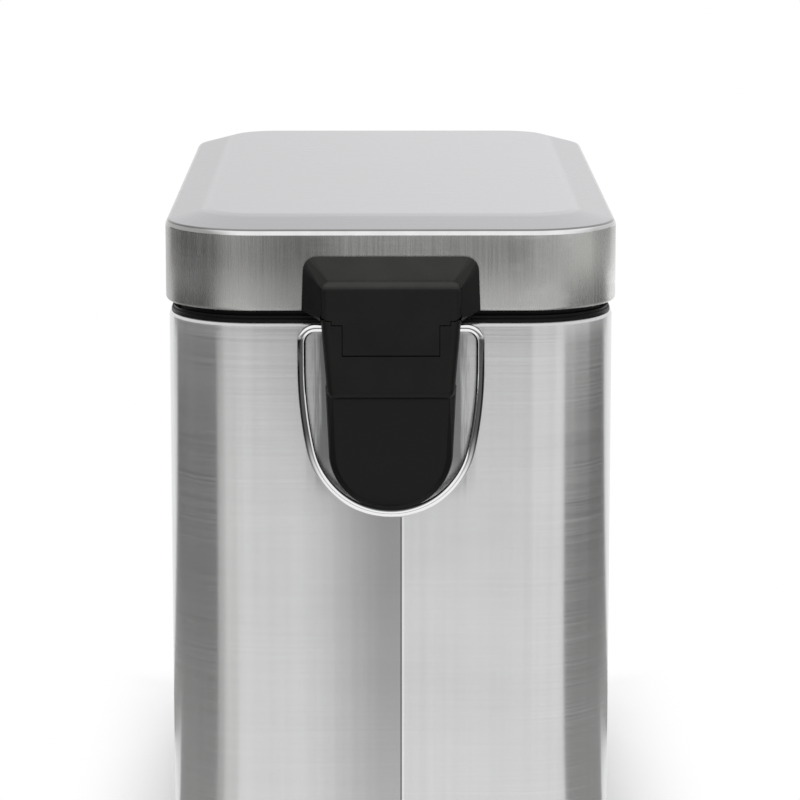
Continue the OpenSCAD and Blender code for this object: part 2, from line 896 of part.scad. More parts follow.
module lid_bracket() {
    color(black) centred()
        difference() {
            union() {
                difference() {
                    bracket_form();
                    translate([0, y_pin, z_pin]) {
                        bar_x(-step_x, step_x, swing_r);
                        for (x = [-1, 1])
                            translate([x * (step_x + block_w / 2) / 2, 0, 0])
                                bar_x(
                                    -(block_w / 2 - step_x) / 2 - step_gap,
                                    (block_w / 2 - step_x) / 2 + step_gap,
                                    step_r
                                );
                    }
                }
                translate([0, y_pin, z_pin]) {
                    span_box(
                        [-tongue_w / 2, pin_inset - tongue_wall, -tongue_half],
                        [tongue_w / 2, pin_inset, swing_r]
                    );
                    for (x = [-1, 1])
                        translate([x * (tongue_w / 2 + spring_room) / 2, 0, 0]) {
                            half = (tongue_w / 2 - spring_room) / 2;
                            bar_x(-half, half, knuckle_r);
                            span_box(
                                [-half, -knuckle_r / 2, 0],
                                [half, pin_inset, swing_r + part_gap]
                            );
                        }
                }
            }
            translate([0, y_pin, z_pin])
                bar_x(-tongue_w, tongue_w, pin_d / 2 + run_gap);
            for (x = [-1, 1], z = bracket_screw_z)
                translate([x * bracket_screw_x, y_skirt - past, z])
                    rotate([-90, 0, 0])
                        cylinder(h = past + bracket_screw_in, r = screw_r + run_gap);
        }
}

module lid_bracket_screws() {
    inner = y_skirt - sheet_t - liner_air - liner_t;
    color(chrome) centred()
        for (x = [-1, 1], z = bracket_screw_z)
            translate([x * bracket_screw_x, inner, z])
                rotate([-90, 0, 0])
                    screw(y_skirt - inner + bracket_screw_in - part_gap, screw_r, screw_head_r, screw_head_h);
}

module striker() {
    color(steel) centred()
        difference() {
            union() {
                span_box(
                    [-striker_w / 2, striker_y, striker_low],
                    [striker_w / 2, striker_y + striker_t, z_ceiling]
                );
                span_box(
                    [-striker_w / 2, striker_y, striker_low],
                    [striker_w / 2, y_lever - lever_t / 2 - part_gap, striker_low + lip_h]
                );
                span_box(
                    [-striker_w / 2, striker_y, z_ceiling - striker_t],
                    [striker_w / 2, striker_y + striker_flange, z_ceiling]
                );
            }
            for (x = [-1, 1])
                translate([x * striker_screw_x, striker_screw_y, z_ceiling - striker_t - past])
                    cylinder(h = striker_t + 2 * past, r = striker_screw_r + snug);
        }
}

module striker_screws() {
    color(chrome) centred()
        for (x = [-1, 1])
            translate([x * striker_screw_x, striker_screw_y, z_ceiling - striker_t])
                screw(striker_t + striker_screw_in, striker_screw_r, case_head_r + 0.7, case_head_h);
}

// The wire lies flat in its own plane first, its loop drawn downwards
module carry_handle() {
    top = [bend_x, -bend_r];
    loop = [0, -handle_drop + loop_r];
    out = [cos(leg_lean), -sin(leg_lean)];
    // a ball closes each joint of straight and bent wire
    joint_swell = 0.01;
    color(chrome) centred()
        translate([0, y_handle, z_handle])
            rotate([90, 0, 0])
                union() {
                    wire_arc(loop, loop_r, wire_r, -180 + leg_lean, 180 - 2 * leg_lean);
                    for (side = [0, 1])
                        mirror([side, 0, 0]) {
                            rod([handle_in, 0], [bend_x, 0], wire_r);
                            wire_arc(top, bend_r, wire_r, -leg_lean, 90 + leg_lean);
                            rod(loop + loop_r * out, top + bend_r * out, wire_r);
                            for (joint = [loop + loop_r * out, top + bend_r * out])
                                translate([joint[0], joint[1], 0])
                                    sphere(wire_r + joint_swell);
                        }
                }
}

module inner_bucket() {
    top = z_bucket_rim;
    floor_z = z_bucket_floor;
    color(black) centred()
        difference() {
            union() {
                swept(bucket_w, bucket_d, bucket_r)
                    polygon([
                        [bucket_r - bucket_draft, floor_z],
                        [bucket_r, top - bucket_rim_t],
                        [bucket_r + bucket_wall - bucket_rim, top - bucket_rim_t],
                        [bucket_r + bucket_wall - bucket_rim, top],
                        [bucket_r - bucket_t, top],
                        [bucket_r - bucket_t - bucket_draft, floor_z]
                    ]);
                translate([0, 0, floor_z])
                    linear_extrude(bucket_t)
                        rounded_rect(
                            bucket_w - 2 * bucket_draft - bucket_t,
                            bucket_d - 2 * bucket_draft - bucket_t,
                            bucket_r - bucket_draft - bucket_t / 2
                        );
                for (x = [-1, 1])
                    translate([x * (bucket_w / 2 + seat_gap - lug_t / 2), 0, z_bail]) {
                        bar_x(-lug_t / 2, lug_t / 2, lug_r);
                        span_box(
                            [-lug_t / 2, -lug_r, z_bucket_rim - z_bail - thin],
                            [lug_t / 2, lug_r, 0]
                        );
                    }
            }
            for (x = [-1, 1])
                translate([x * bucket_w / 2, 0, z_bail])
                    bar_x(-bail_in - past, bail_in + past, bail_d / 2 + run_gap);
            // the lugs end at the rim
            span_box(
                [-bucket_w / 2 + bucket_t + bucket_draft, -2 * lug_r, z_bucket_floor + bucket_t],
                [bucket_w / 2 - bucket_t - bucket_draft, 2 * lug_r, z_bucket_rim + 2 * lug_r]
            );
        }
}

module bucket_handle() {
    reach = bail_l - bail_bend;
    color(chrome) centred()
        translate([0, 0, z_bail])
            union() {
                rod([-bail_x + bail_bend, -bail_l], [bail_x - bail_bend, -bail_l], bail_d / 2);
                for (side = [0, 1])
                    mirror([side, 0, 0]) {
                        wire_arc([bail_x - bail_bend, -reach], bail_bend, bail_d / 2, -90, 90);
                        rod([bail_x, -reach], [bail_x, 0], bail_d / 2);
                        translate([bail_x, 0, 0])
                            sphere(bail_d / 2);
                        rod([bail_x, 0], [bucket_w / 2 - bail_in, 0], bail_d / 2);
                    }
            }
}

module bucket_grip() {
    color(black) centred()
        translate([0, -bail_l, z_bail])
            difference() {
                bar_x(-grip_l / 2, grip_l / 2, grip_d / 2);
                bar_x(-grip_l, grip_l, bail_d / 2 + run_gap);
            }
}

body_shell();
base_tray();
base_feet();
top_collar();
bucket_ring();
hinge_housing();
backing_plate();
housing_screws();
hinge_pin();
lid_spring();
latch_case();
latch_case_screws();
latch_pin();
latch_spring();
lid_shell();
lid_liner();
lid_bracket();
lid_bracket_screws();
lid_bumpers();
striker();
striker_screws();
carry_handle();
latch_hook();
inner_bucket();
bucket_handle();
bucket_grip();
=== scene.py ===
"""Looks of the push top countertop bin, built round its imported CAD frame. Metres, +Z up, hinge at +Y."""
import math

import bmesh
import bpy
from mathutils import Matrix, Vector


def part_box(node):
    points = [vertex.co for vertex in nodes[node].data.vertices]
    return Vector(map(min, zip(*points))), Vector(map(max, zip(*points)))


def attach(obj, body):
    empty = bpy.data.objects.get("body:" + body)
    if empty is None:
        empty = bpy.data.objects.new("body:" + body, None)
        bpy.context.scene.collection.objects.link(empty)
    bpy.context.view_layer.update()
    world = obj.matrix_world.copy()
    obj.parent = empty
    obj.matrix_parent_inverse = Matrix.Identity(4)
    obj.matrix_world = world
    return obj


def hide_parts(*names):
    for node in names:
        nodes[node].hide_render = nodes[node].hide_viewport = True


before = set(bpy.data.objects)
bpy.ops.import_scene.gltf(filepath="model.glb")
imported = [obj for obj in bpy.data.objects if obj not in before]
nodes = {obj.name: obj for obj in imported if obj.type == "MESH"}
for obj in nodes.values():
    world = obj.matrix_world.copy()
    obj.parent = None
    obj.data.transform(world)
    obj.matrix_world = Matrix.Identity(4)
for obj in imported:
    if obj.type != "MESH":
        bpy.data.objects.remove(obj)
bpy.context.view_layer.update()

MM = 0.001

# Camera: where it stands, how far it looks down and to the side, in degrees, and its lens
CAMERA_AT = (0.00358, 1.69215, 0.5005)
CAMERA_DOWN = 10.36
CAMERA_YAW = 0.279
LENS = 164.8

# Outlines of the body and the lid, read from the frame
body_low, body_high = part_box("body_shell")
lid_low, lid_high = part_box("lid_shell")
WALL_Y = body_high.y
LID_Y = lid_high.y
CENTRE_Y = (body_low.y + body_high.y) / 2
BODY_W = body_high.x - body_low.x
BODY_D = body_high.y - body_low.y
LID_W = lid_high.x - lid_low.x
LID_D = lid_high.y - lid_low.y

# Sheet, corners, rolled edges and flange, then the lid's rim, border, panel and lip, then the seam
CORNER_R = 38.5 * MM
SHEET = 0.6 * MM
ROLL_R = 1.8 * MM
FLANGE_IN = 4.5 * MM
LID_OVER = (LID_W - BODY_W) / 2
LID_R = CORNER_R + LID_OVER
RIM_R = 2.5 * MM
BEVEL_W = 20 * MM
BEVEL_RISE = 4.5 * MM
RIM_Z = lid_high.z - BEVEL_RISE
PANEL_R = 8 * MM
LID_LIP = 2.6 * MM
SEAM_X = -4.3 * MM

# Slots of the lid's side and rim materials; its top has slot 0
LID_SIDE = 1
LID_RIM = 2

# Carry handle: half the gap between its ends, the height where its legs bend into its arms, the bend's
# and the bowed leg's radius, how many degrees the leg bows, and the flats round the wire
WIRE_END = 25.6 * MM
WIRE_BEND_Z = 0.2495
WIRE_BEND_R = 6 * MM
WIRE_LEG_R = 170 * MM
WIRE_BOW = 12
WIRE_SIDES = 24

# Floor's change to plain white beside the body, and the grey cards: the floor cards' height, centre, inner
# and outer edge (radius, height), and the low cards' radius and heights
FLOOR_FADE = 0.06
CARD_Z = 0.003
CARD_CENTRE = (0.06, 0.135)
CARD_INNER = (0.05, CARD_Z)
CARD_OUTER = (1.4, CARD_Z)
LOW_RING = 1.5
LOW_Z = (0.038, 0.26)

# Painted light and shade on the steel: the seam's painted shade and painted highlight strip, the painted
# reflection streaks beside the hinge cover within the carry handle's loop, and the lid side's dim patch of
# painted dark reflection and pale patch of painted light
SEAM_SHADE_REACH = (4 * MM, 46 * MM)
SEAM_SHADE_GROWS_Z = (0.05, 0.14)
SEAM_SHADE_WIDENS_Z = (0.17, 0.24)
STRIP_W = 1.3 * MM
COVER_X = 28.5 * MM
LOOP_X = 36.5 * MM
LOOP_BOTTOM_Z = (0.178, 0.2)
LOOP_TOP_Z = (0.25, 0.254)
LID_DIM_X = (38 * MM, 68 * MM)
LID_LIT_X = (-85 * MM, -73 * MM)
LID_LIT_Z = (0.270, 0.292)


# Node helpers

def new_material(name, colour, roughness, metallic=0.0):
    material = bpy.data.materials.new(name)
    material.use_nodes = True
    shader = material.node_tree.nodes["Principled BSDF"]
    shader.inputs["Base Color"].default_value = (*colour, 1)
    shader.inputs["Roughness"].default_value = roughness
    shader.inputs["Metallic"].default_value = metallic
    return material, shader


def link(material, source, target):
    material.node_tree.links.new(source, target)


def node(material, kind, **values):
    made = material.node_tree.nodes.new(kind)
    for name, value in values.items():
        setattr(made, name, value)
    return made


def object_place(material, stretch=(1, 1, 1)):
    """Coordinates fixed to the object, scaled along each axis."""
    coords = node(material, "ShaderNodeTexCoord")
    mapping = node(material, "ShaderNodeMapping")
    mapping.inputs["Scale"].default_value = stretch
    link(material, coords.outputs["Object"], mapping.inputs["Vector"])
    return mapping.outputs["Vector"]


def noise(material, place, scale, detail=4, roughness=0.6):
    made = node(material, "ShaderNodeTexNoise")
    made.inputs["Scale"].default_value = scale
    made.inputs["Detail"].default_value = detail
    made.inputs["Roughness"].default_value = roughness
    link(material, place, made.inputs["Vector"])
    return made.outputs["Fac"]


def span(material, value, from_low, from_high, to_low, to_high, smooth=False):
    """Maps one range of a value onto another and clamps it."""
    made = node(material, "ShaderNodeMapRange")
    made.interpolation_type = "SMOOTHSTEP" if smooth else "LINEAR"
    made.inputs["From Min"].default_value = from_low
    made.inputs["From Max"].default_value = from_high
    made.inputs["To Min"].default_value = to_low
    made.inputs["To Max"].default_value = to_high
    link(material, value, made.inputs["Value"])
    return made.outputs["Result"]


def math_of(material, operation, a, b):
    made = node(material, "ShaderNodeMath", operation=operation)
    for socket, value in zip(made.inputs, (a, b)):
        if isinstance(value, (int, float)):
            socket.default_value = value
        else:
            link(material, value, socket)
    return made.outputs["Value"]


def mix_colour(material, factor, a, b):
    made = node(material, "ShaderNodeMix", data_type="RGBA")
    link(material, factor, made.inputs["Factor"])
    for index, value in ((6, a), (7, b)):
        if isinstance(value, tuple):
            made.inputs[index].default_value = (*value, 1)
        else:
            link(material, value, made.inputs[index])
    return made.outputs[2]


def bump(material, shader, height, strength, distance):
    made = node(material, "ShaderNodeBump")
    made.inputs["Strength"].default_value = strength
    made.inputs["Distance"].default_value = distance
    link(material, height, made.inputs["Height"])
    link(material, made.outputs["Normal"], shader.inputs["Normal"])


def split_xyz(material, place):
    made = node(material, "ShaderNodeSeparateXYZ")
    link(material, place, made.inputs["Vector"])
    return made.outputs["X"], made.outputs["Y"], made.outputs["Z"]


def place_xyz(material):
    """The point's place on its object as X, Y and Z."""
    return split_xyz(material, object_place(material))


def facing(material):
    """The surface's direction as X, Y and Z."""
    return split_xyz(material, node(material, "ShaderNodeNewGeometry").outputs["Normal"])


def absolute(material, value):
    return math_of(material, "ABSOLUTE", value, 0.0)


def times(material, first, *others):
    """Numbers multiplied."""
    for other in others:
        first = math_of(material, "MULTIPLY", first, other)
    return first


def product(material, first, *others):
    """Colours multiplied."""
    for other in others:
        made = node(material, "ShaderNodeMix", data_type="RGBA", blend_type="MULTIPLY")
        made.inputs["Factor"].default_value = 1.0
        link(material, first, made.inputs[6])
        link(material, other, made.inputs[7])
        first = made.outputs[2]
    return first


def blend(material, value, low, high, a, b, smooth=False):
    """Goes from colour a to colour b as a value goes from low to high. A number means a grey."""
    a, b = ((c, c, c) if isinstance(c, (int, float)) else c for c in (a, b))
    return mix_colour(material, span(material, value, low, high, 0, 1, smooth), a, b)


def brushed(material, shader, anisotropy, turn):
    """Stretches the highlight across the brushing. turn is a share of a full turn from level."""
    tangent = node(material, "ShaderNodeTangent", direction_type="RADIAL", axis="Z")
    link(material, tangent.outputs["Tangent"], shader.inputs["Tangent"])
    shader.inputs["Anisotropic"].default_value = anisotropy
    shader.inputs["Anisotropic Rotation"].default_value = turn


# Materials

def on_back(material, y):
    """1 on the flat back of the body, 0 on its other sides."""
    return span(material, y, WALL_Y - 4 * MM, WALL_Y - 2 * MM, 0.0, 1.0)


def seam_shade_and_highlight(material):
    """Painted shade beside the seam on its left, weaker towards the floor, a painted highlight strip on
    its right and painted shade in its groove.
    """
    x, y, z = place_xyz(material)
    beside = math_of(material, "SUBTRACT", x, SEAM_X)
    reach = math_of(material, "DIVIDE", beside, span(material, z, *SEAM_SHADE_WIDENS_Z, 1.0, 1.45))
    # Painted shade on the seam's left
    dark = times(
        material,
        span(material, z, *SEAM_SHADE_GROWS_Z, 0.33, 0.49),
        span(material, reach, *SEAM_SHADE_REACH, 1.0, 0.0, smooth=True),
        span(material, beside, -0.1 * MM, 0.1 * MM, 0.0, 1.0),
    )
    # Painted highlight strip on the seam's right
    strip = times(
        material,
        span(material, beside, -STRIP_W - 0.2 * MM, -STRIP_W + 0.2 * MM, 0.0, 0.14),
        span(material, beside, -0.3 * MM, -0.1 * MM, 1.0, 0.0),
    )
    # Painted shade in the seam's groove
    groove = span(material, absolute(material, beside), 0.14 * MM, 0.3 * MM, 0.6, 0.0)
    change = math_of(material, "SUBTRACT", strip, math_of(material, "MAXIMUM", dark, groove))
    return math_of(material, "ADD", 1.0, times(material, change, on_back(material, y)))


def cover_reflection(material):
    """Painted reflection of the hinge cover: dim streaks in the steel beside it, inside the carry handle's
    loop.
    """
    x, y, z = place_xyz(material)
    streaks = noise(material, object_place(material, (420, 1, 22)), 1.0, 4, 0.65)
    out = absolute(material, x)
    wavy = math_of(material, "ADD", out, span(material, streaks, 0.3, 0.7, -2.2 * MM, 2.2 * MM))
    dim = times(
        material,
        span(material, wavy, COVER_X, COVER_X + 5 * MM, 0.66, 0.12, smooth=True),
        span(material, out, LOOP_X - 1.5 * MM, LOOP_X, 1.0, 0.0),
        span(material, z, *LOOP_BOTTOM_Z, 0.0, 1.0, smooth=True),
        span(material, z, *LOOP_TOP_Z, 1.0, 0.0),
        on_back(material, y),
    )
    return math_of(material, "SUBTRACT", 1.0, dim)


def body_steel():
    """Steel sheet brushed level, with painted shade and a painted highlight at the seam and painted
    reflections beside the hinge cover.
    """
    material, shader = new_material("body_steel_look", (0.6, 0.6, 0.61), 0.3, 1.0)
    grain = noise(material, object_place(material, (9, 9, 1500)), 1.0, 5, 0.7)
    cloud = noise(material, object_place(material, (1, 1, 2.5)), 9.0, 3)
    upright = noise(material, object_place(material, (260, 260, 1.5)), 1.0, 3)
    colour = product(
        material,
        blend(material, grain, 0.3, 0.7, (0.65, 0.65, 0.655), (0.70, 0.70, 0.705)),
        blend(material, cloud, 0.35, 0.65, 0.95, 1.0),
        blend(material, upright, 0.3, 0.7, 0.955, 1.0),
        seam_shade_and_highlight(material),
        cover_reflection(material),
    )
    link(material, colour, shader.inputs["Base Color"])
    link(material, span(material, grain, 0.3, 0.7, 0.19, 0.27), shader.inputs["Roughness"])
    bump(material, shader, grain, 0.1, 0.02 * MM)
    brushed(material, shader, 0.75, 0.25)
    return material


def lid_top_steel():
    """Satin panel of the lid with faint level grain, painted lighter towards -X and darker towards +X, and
    painted shade making its sloping border slightly darker.
    """
    material, shader = new_material("lid_top_look", (0.5, 0.5, 0.51), 0.3, 1.0)
    shader.inputs["Specular Tint"].default_value = (0.95, 0.95, 0.955, 1)
    satin = noise(material, object_place(material, (14, 1500, 14)), 1.0, 4, 0.7)
    x, y, z = place_xyz(material)
    colour = product(
        material,
        blend(material, satin, 0.3, 0.7, (0.535, 0.535, 0.548), (0.565, 0.565, 0.578)),
        # Painted light across the panel
        blend(material, x, -90 * MM, 90 * MM, 1.06, 0.93),
        # Painted shade on the sloping border
        blend(material, z, lid_high.z - 1.2 * MM, lid_high.z - 0.6 * MM, 0.88, 1.0),
    )
    link(material, colour, shader.inputs["Base Color"])
    link(material, span(material, satin, 0.3, 0.7, 0.26, 0.32), shader.inputs["Roughness"])
    bump(material, shader, satin, 0.08, 0.02 * MM)
    return material


def lid_rim_steel():
    """Rounded upper edge of the lid, polished where the sheet was drawn over, with a painted dark
    reflection line along it and painted shade greying it round its corners.
    """
    material, shader = new_material("lid_rim_look", (0.6, 0.6, 0.6), 0.12, 1.0)
    marks = noise(material, object_place(material, (120, 120, 120)), 1.0, 3)
    face_x, face_y, face_z = facing(material)
    colour = product(
        material,
        blend(material, marks, 0.3, 0.7, (0.76, 0.76, 0.76), (0.84, 0.84, 0.845)),
        # Painted dark reflection line where the rim faces more up
        blend(material, face_z, 0.68, 0.74, 1.0, 0.3),
        # Painted shade greying the rim round its corners
        blend(material, face_x, 0.18, 0.5, 1.0, (0.4, 0.4, 0.39), smooth=True),
        blend(material, face_x, -0.75, -0.4, 0.62, 1.0, smooth=True),
    )
    link(material, colour, shader.inputs["Base Color"])
    link(material, span(material, marks, 0.3, 0.7, 0.1, 0.16), shader.inputs["Roughness"])
    return material


def lid_side_shade(material):
    """Painted light and shade on the lid's side: a dim patch of painted dark reflection on the back left
    of the hinge cover, and painted light making the steel lighter low on the right side.
    """
    x, y, z = place_xyz(material)
    dim = blend(material, x, *LID_DIM_X, 0.62, 1.0, smooth=True)
    left = blend(material, x, 20 * MM, 30 * MM, 1.0, dim)
    # Painted light low on the right side
    pale = times(
        material,
        span(material, x, *LID_LIT_X, 1.0, 0.0),
        span(material, z, *LID_LIT_Z, 1.0, 0.25),
    )
    return product(
        material,
        blend(material, y, LID_Y - 12 * MM, LID_Y - 2 * MM, 1.0, left),
        mix_colour(material, pale, (1.0, 1.0, 1.0), (1.8, 1.8, 1.8)),
    )


def lid_side_steel():
    """Side of the lid, brushed upright, with patches rubbed level; its grey is set darker than the top's,
    partly as painted shade.
    """
    material, shader = new_material("lid_side_look", (0.55, 0.55, 0.54), 0.34, 1.0)
    upright = noise(material, object_place(material, (1500, 1500, 30)), 1.0, 3, 0.6)
    patches = noise(material, object_place(material, (40, 40, 60)), 1.0, 5, 0.6)
    level = noise(material, object_place(material, (25, 25, 1100)), 1.0, 4, 0.7)
    lines = blend(material, upright, 0.3, 0.7, (0.405, 0.405, 0.395), (0.455, 0.455, 0.445))
    rubbed = blend(material, level, 0.35, 0.65, (0.43, 0.43, 0.42), (0.53, 0.53, 0.53))
    steel = mix_colour(material, span(material, patches, 0.5, 0.66, 0.0, 1.0), lines, rubbed)
    link(material, product(material, steel, lid_side_shade(material)), shader.inputs["Base Color"])
    link(material, span(material, upright, 0.3, 0.7, 0.24, 0.29), shader.inputs["Roughness"])
    bump(material, shader, upright, 0.05, 0.02 * MM)
    brushed(material, shader, 0.6, 0.0)
    return material


def wire_shade(material, colour):
    """Painted dark reflections on the chrome: the outer side of the handle's legs, an inner line along its
    loop and lines along its arms.
    """
    x, y, z = place_xyz(material)
    face_x, face_y, face_z = facing(material)
    out = math_of(material, "MULTIPLY", face_x, math_of(material, "SIGN", x, 0.0))
    legs = times(
        material,
        span(material, out, -0.5, -0.3, 0.0, 1.0, smooth=True),
        span(material, out, 0.86, 0.97, 1.0, 0.3),
        span(material, z, 0.188, 0.212, 0.0, 0.93, smooth=True),
        span(material, z, WIRE_BEND_Z, WIRE_BEND_Z + 3 * MM, 1.0, 0.0, smooth=True),
    )
    loop = times(
        material,
        span(material, face_z, 0.45, 0.6, 0.0, 0.85),
        span(material, face_z, 0.8, 0.9, 1.0, 0.3),
        span(material, z, 0.192, 0.206, 1.0, 0.0),
    )
    middle = absolute(material, math_of(material, "SUBTRACT", face_z, 0.12))
    lines = math_of(
        material,
        "MAXIMUM",
        span(material, middle, 0.08, 0.2, 0.8, 0.0),
        span(material, face_z, 0.78, 0.9, 0.0, 0.85),
    )
    arms = times(material, lines, span(material, z, WIRE_BEND_Z, WIRE_BEND_Z + 2 * MM, 0.0, 1.0))
    dark = math_of(material, "MAXIMUM", math_of(material, "MAXIMUM", legs, loop), arms)
    return mix_colour(material, dark, colour, (0.03, 0.03, 0.03))


def chrome(name, colour=(0.86, 0.86, 0.87), shaded=False):
    """Bright plating with faint draw marks; when shaded, it takes the painted dark reflections of
    wire_shade.
    """
    material, shader = new_material(name, colour, 0.06, 1.0)
    marks = noise(material, object_place(material, (60, 60, 60)), 12.0, 4)
    if shaded:
        link(material, wire_shade(material, colour), shader.inputs["Base Color"])
    link(material, span(material, marks, 0.35, 0.7, 0.04, 0.12), shader.inputs["Roughness"])
    bump(material, shader, marks, 0.05, 0.02 * MM)
    return material


def zinc(name, colour, roughness=0.42):
    """Zinc plated steel with a faint spangle."""
    material, shader = new_material(name, colour, roughness, 1.0)
    spangle = noise(material, object_place(material), 260.0, 3)
    darker = tuple(0.8 * c for c in colour)
    link(material, blend(material, spangle, 0.35, 0.65, darker, colour), shader.inputs["Base Color"])
    rough = span(material, spangle, 0.3, 0.7, roughness - 0.08, roughness + 0.08)
    link(material, rough, shader.inputs["Roughness"])
    bump(material, shader, spangle, 0.08, 0.03 * MM)
    return material


def plastic(name, dark, pale, low_rough, high_rough, gloss=0.4):
    """Moulded plastic with a fine spark-eroded texture and faint wear. dark and pale are grey levels."""
    material, shader = new_material(name, (dark, dark, dark), low_rough)
    shader.inputs["Specular IOR Level"].default_value = gloss
    texture = noise(material, object_place(material), 1500.0, 2, 0.5)
    cloud = noise(material, object_place(material), 45.0, 4)
    link(material, blend(material, cloud, 0.35, 0.7, dark, pale), shader.inputs["Base Color"])
    link(material, span(material, cloud, 0.3, 0.7, low_rough, high_rough), shader.inputs["Roughness"])
    bump(material, shader, texture, 0.35, 0.04 * MM)
    return material


def hinge_plastic():
    """Black plastic of the hinge covers, with painted light making it paler where it faces up and painted
    shade making it darker where it leans down.
    """
    material, shader = new_material("hinge_look", (0.004, 0.004, 0.004), 0.36)
    shader.inputs["Specular IOR Level"].default_value = 0.16
    texture = noise(material, object_place(material), 1500.0, 2, 0.5)
    cloud = noise(material, object_place(material), 60.0, 4)
    face_x, face_y, face_z = facing(material)
    flat = blend(material, cloud, 0.35, 0.7, (0.0038, 0.0038, 0.0036), (0.0056, 0.0056, 0.0053))
    # Painted light for faces that point up
    lit_facing_up = blend(material, cloud, 0.35, 0.7, (0.030, 0.030, 0.0275), (0.037, 0.037, 0.034))
    # Painted shade for faces that lean down
    lower = blend(material, face_z, -0.12, -0.06, 0.002, flat)
    link(material, blend(material, face_z, 0.2, 0.62, lower, lit_facing_up), shader.inputs["Base Color"])
    link(material, span(material, cloud, 0.3, 0.7, 0.32, 0.42), shader.inputs["Roughness"])
    bump(material, shader, texture, 0.35, 0.04 * MM)
    return material


def dress(names, material):
    """Gives CAD nodes or pieces one material in every slot."""
    for name in names:
        piece = nodes[name] if isinstance(name, str) else name
        if not piece.data.materials:
            piece.data.materials.append(material)
        for index in range(len(piece.data.materials)):
            piece.data.materials[index] = material


def dress_lid(lid):
    """Gives the lid its top, side and rim finishes, each at its height."""
    for material in (lid_top_steel(), lid_side_steel(), lid_rim_steel()):
        lid.data.materials.append(material)
    for face in lid.data.polygons:
        if face.center.z < RIM_Z - RIM_R:
            face.material_index = LID_SIDE
        elif face.center.z < RIM_Z - 0.1 * MM:
            face.material_index = LID_RIM


# Shapes

def arc(centre, radius, start, end, steps):
    """Points of an arc in the section plane, angles in degrees."""
    turns = [math.radians(start + (end - start) * i / steps) for i in range(steps + 1)]
    return [(centre[0] + radius * math.cos(t), centre[1] + radius * math.sin(t)) for t in turns]


def plan_points(width, depth, radius, corner_steps=24, side_steps=24):
    """Points round a rounded rectangle, each with its outward normal, counter-clockwise."""
    found = []
    half_w, half_d = width / 2 - radius, depth / 2 - radius
    centres = [
        (half_w, half_d, 0),
        (-half_w, half_d, 90),
        (-half_w, -half_d, 180),
        (half_w, -half_d, 270),
    ]
    for i, (cx, cy, turn) in enumerate(centres):
        for k in range(corner_steps + 1):
            a = math.radians(turn + 90 * k / corner_steps)
            found.append((cx, cy, math.cos(a), math.sin(a)))
        nx, ny, _ = centres[(i + 1) % 4]
        for k in range(1, side_steps):
            share = k / side_steps
            a = math.radians(turn + 90)
            found.append((cx + (nx - cx) * share, cy + (ny - cy) * share, math.cos(a), math.sin(a)))
    return found


def mesh_object(name, bm, smooth_angle=40):
    """Turns a bmesh into a smooth shaded piece with sharp edges kept."""
    bmesh.ops.recalc_face_normals(bm, faces=bm.faces)
    mesh = bpy.data.meshes.new(name)
    bm.to_mesh(mesh)
    bm.free()
    piece = bpy.data.objects.new(name, mesh)
    bpy.context.scene.collection.objects.link(piece)
    for face in mesh.polygons:
        face.use_smooth = True
    mesh.set_sharp_from_angle(angle=math.radians(smooth_angle))
    return piece


def plan_rings(bm, plan, section, dip):
    """A ring of points round the plan for each (distance from the corner centre, height) of a section."""
    rings = []
    for out, z in section:
        ring = []
        for cx, cy, nx, ny in plan:
            d = out - dip(cx, ny)
            ring.append(bm.verts.new((cx + nx * d, CENTRE_Y + cy + ny * d, z)))
        rings.append(ring)
    return rings


def join_rings(bm, lower, upper):
    """Closes the band between two rings with faces."""
    for k in range(len(lower)):
        n = (k + 1) % len(lower)
        bm.faces.new((lower[k], lower[n], upper[n], upper[k]))


def no_dip(x, ny):
    return 0.0


def seam_dip(x, ny):
    """Depth of the thin groove where the sheet's two edges meet at the back."""
    if ny < 0.9999:
        return 0.0
    return 0.35 * MM * max(0.0, 1 - abs(x - SEAM_X) / (0.32 * MM))


def with_seam(plan):
    """Adds close columns across the seam to the plan's back side."""
    wanted = [SEAM_X + step * MM for step in (0.5, 0.32, 0.16, 0.05, -0.05, -0.16, -0.32, -0.5)]
    found = []
    for here, after in zip(plan, plan[1:] + plan[:1]):
        found.append(here)
        if here[3] > 0.9999 and after[3] > 0.9999 and here[0] >= after[0]:
            found += [(x, here[1], 0.0, 1.0) for x in wanted if here[0] > x > after[0]]
    return found


def body_section(inset):
    """Outside of the body from the bottom up, over the rolled edge and in along the flange."""
    r = CORNER_R - inset
    return (
        [(r, body_low.z), (r, body_low.z + 0.002), (r, body_high.z - 0.06), (r, body_high.z - 0.01)]
        + arc((CORNER_R - ROLL_R, body_high.z - ROLL_R), ROLL_R - inset, 0, 90, 8)
        + [(CORNER_R - FLANGE_IN, body_high.z - inset)]
    )


def lid_section(inset):
    """Outside of the lid from its turned-in lip up the side, over the rim and up the sloping border."""
    step_x, step_z = BEVEL_W - RIM_R, PANEL_R - RIM_R - BEVEL_RISE
    slope = math.acos((PANEL_R - RIM_R) / math.hypot(step_x, step_z))
    normal = math.degrees(math.atan2(step_z, step_x) + slope)
    return (
        [(LID_R - LID_LIP, lid_low.z + inset)]
        + arc((LID_R - ROLL_R, lid_low.z + ROLL_R), ROLL_R - inset, -90, 0, 8)
        + arc((LID_R - RIM_R, RIM_Z - RIM_R), RIM_R - inset, 0, normal, 10)
        + arc((LID_R - BEVEL_W, lid_high.z - PANEL_R), PANEL_R - inset, normal, 90, 8)
    )


def make_body():
    plan = with_seam(plan_points(BODY_W, BODY_D, CORNER_R))
    section = body_section(0) + list(reversed(body_section(SHEET)))
    bm = bmesh.new()
    rings = plan_rings(bm, plan, section, seam_dip)
    for lower, upper in zip(rings, rings[1:] + rings[:1]):
        join_rings(bm, lower, upper)
    piece = mesh_object("steel_body", bm)
    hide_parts("body_shell")
    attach(piece, "bin")
    return piece


